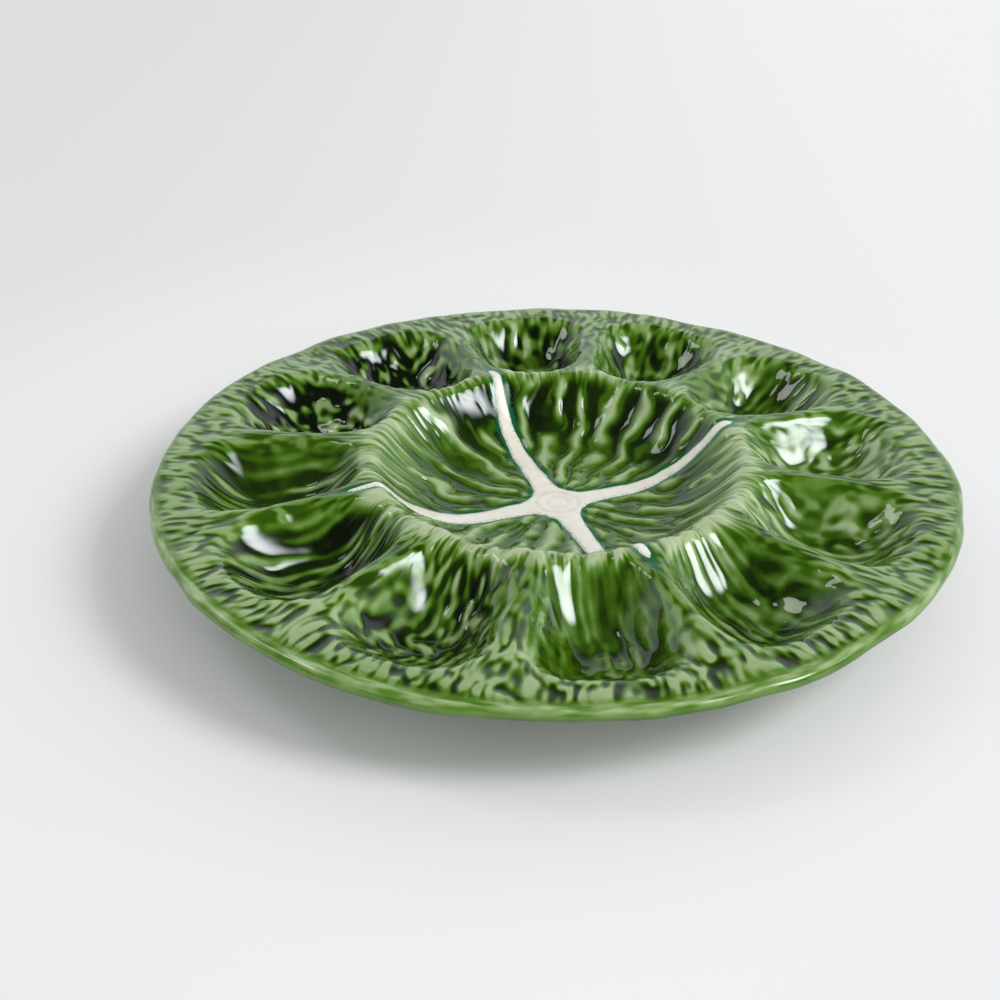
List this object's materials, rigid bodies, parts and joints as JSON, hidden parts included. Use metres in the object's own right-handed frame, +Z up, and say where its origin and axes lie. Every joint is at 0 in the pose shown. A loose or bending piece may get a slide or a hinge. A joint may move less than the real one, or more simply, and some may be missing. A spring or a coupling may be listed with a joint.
{
  "type": "egg platter",
  "caption": "Round glazed earthenware platter with a ribbed leaf-relief centre dish, a ring of egg-shaped wells, a rounded lip and a foot ring to stand on.",
  "frame": {"origin": "middle of the foot ring's underside, on the table", "axes": "+Z up through the middle of the dish; one of the ivory leaf ribs runs along +X"},
  "size_m": [0.33, 0.33, 0.0385],
  "materials": {
    "clay": "matte",
    "green_glaze": "polished",
    "ivory_glaze": "polished"
  },
  "bodies": {
    "root": {"clay_body": "clay", "foot_ring": "clay", "green_glaze": "green_glaze", "recess_glaze": "green_glaze", "ivory_glaze": "ivory_glaze"}
  },
  "joints": []
}
